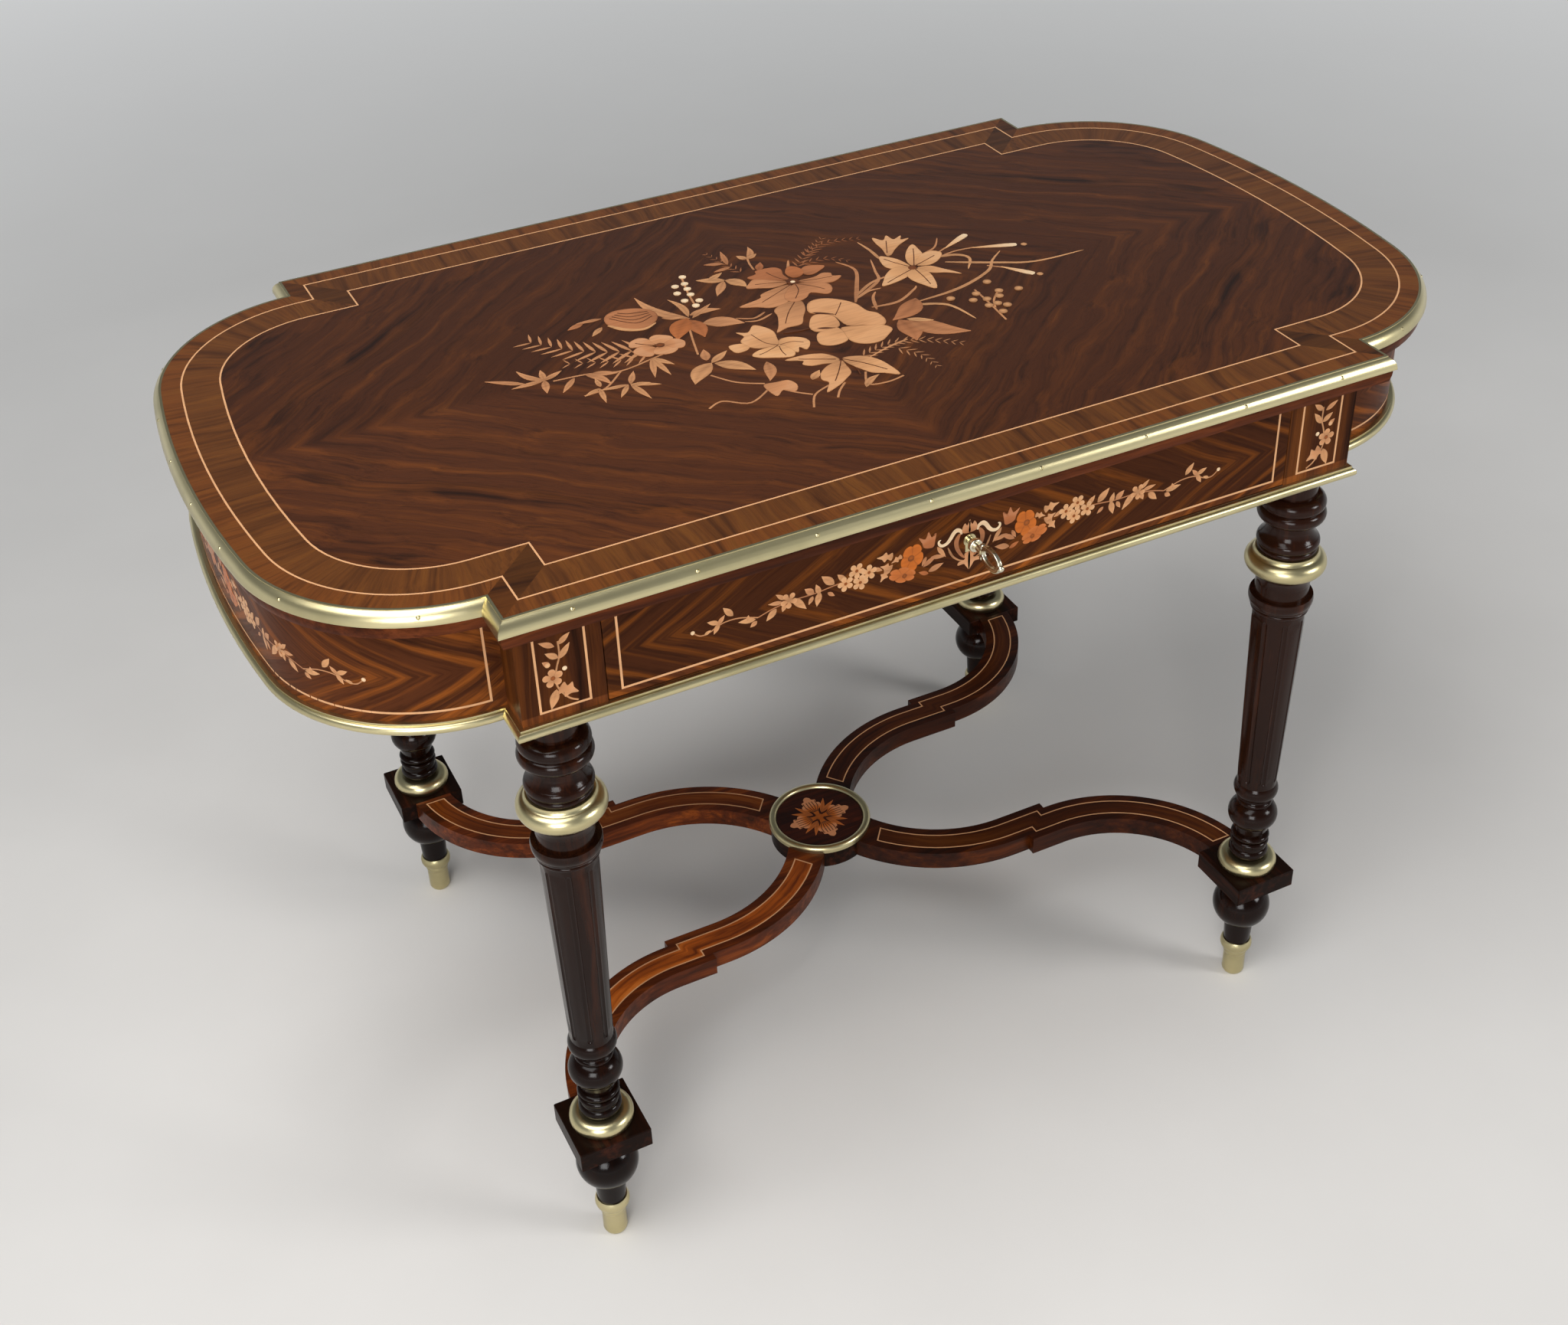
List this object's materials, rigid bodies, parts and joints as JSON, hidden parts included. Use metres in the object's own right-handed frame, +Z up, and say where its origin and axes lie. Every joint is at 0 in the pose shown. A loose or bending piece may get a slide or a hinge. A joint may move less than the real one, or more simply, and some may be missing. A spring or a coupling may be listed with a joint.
{
  "type": "centre table",
  "caption": "Break-front centre table with floral marquetry top, brass mouldings, lockable frieze drawer, turned reeded legs and a serpentine stretcher with a round hub.",
  "frame": {"origin": "on the floor under the middle of the top, midway between the four legs", "axes": "+X along the length, +Z up; the drawer and its key face -Y"},
  "size_m": [1.1248, 0.6655, 0.75],
  "materials": {
    "rosewood": "french polished, figured, with floral marquetry",
    "rosewood_edge": "french polished",
    "crossband": "french polished, cross grain",
    "boxwood": "french polished",
    "oak": "waxed",
    "brass": "polished",
    "dark_turned_wood": "dark french polish",
    "stretcher_wood": "french polished with light stringing",
    "lock_steel": "bright iron",
    "key_metal": "polished nickel"
  },
  "bodies": {
    "table": {"back_panel": "rosewood", "drawer_bottom_rail": "rosewood_edge", "drawer_kickers": "oak", "drawer_runner_left": "oak", "drawer_runner_right": "oak", "drawer_stops": "oak", "drawer_top_rail": "rosewood_edge", "end_panel_left": "rosewood", "end_panel_right": "rosewood", "ferrules": "brass", "foot_back_left": "dark_turned_wood", "foot_back_right": "dark_turned_wood", "foot_brass_back": "brass", "foot_brass_front": "brass", "foot_brass_left": "brass", "foot_brass_right": "brass", "foot_front_left": "dark_turned_wood", "foot_front_right": "dark_turned_wood", "hub": "stretcher_wood", "hub_medallion": "rosewood", "hub_ring": "brass", "leg_back_left": "dark_turned_wood", "leg_back_right": "dark_turned_wood", "leg_collars": "brass", "leg_cups": "brass", "leg_front_left": "dark_turned_wood", "leg_front_right": "dark_turned_wood", "moulding_pins": "brass", "post_back_left": "rosewood", "post_back_right": "rosewood", "post_front_left": "rosewood", "post_front_right": "rosewood", "stretcher_arm_back_left": "stretcher_wood", "stretcher_arm_back_right": "stretcher_wood", "stretcher_arm_front_left": "stretcher_wood", "stretcher_arm_front_right": "stretcher_wood", "stretcher_block_back_left": "stretcher_wood", "stretcher_block_back_right": "stretcher_wood", "stretcher_block_front_left": "stretcher_wood", "stretcher_block_front_right": "stretcher_wood", "top_board": "oak", "top_brass_back": "brass", "top_brass_front": "brass", "top_brass_left": "brass", "top_brass_right": "brass", "top_crossband": "crossband", "top_edge_band": "rosewood_edge", "top_field": "rosewood", "top_strings": "boxwood", "under_moulding": "rosewood_edge"},
    "drawer": {"drawer_front": "rosewood", "drawer_side_left": "oak", "drawer_side_right": "oak", "drawer_back": "oak", "drawer_bottom": "oak", "lock_case": "lock_steel", "lock_screws": "lock_steel", "escutcheon": "brass"},
    "key": {"key": "key_metal"},
    "lock_bolt": {"lock_bolt": "lock_steel"}
  },
  "joints": [
    {"name": "drawer_slide", "type": "slide", "parent": "table", "child": "drawer", "axis": [0, -1, 0], "range_m": [0, 0.36]},
    {"name": "key_turn", "type": "hinge", "parent": "drawer", "child": "key", "pos_m": [0, -0.294, 0.6795], "axis": [0, 1, 0], "range_deg": [0, 360]},
    {"name": "bolt_throw", "type": "slide", "parent": "drawer", "child": "lock_bolt", "axis": [0, 0, 1], "range_m": [0, 0.008]}
  ],
  "couplings": [
    {"joint": "key_turn", "follows": "bolt_throw", "rad_per_m": 785.4}
  ]
}
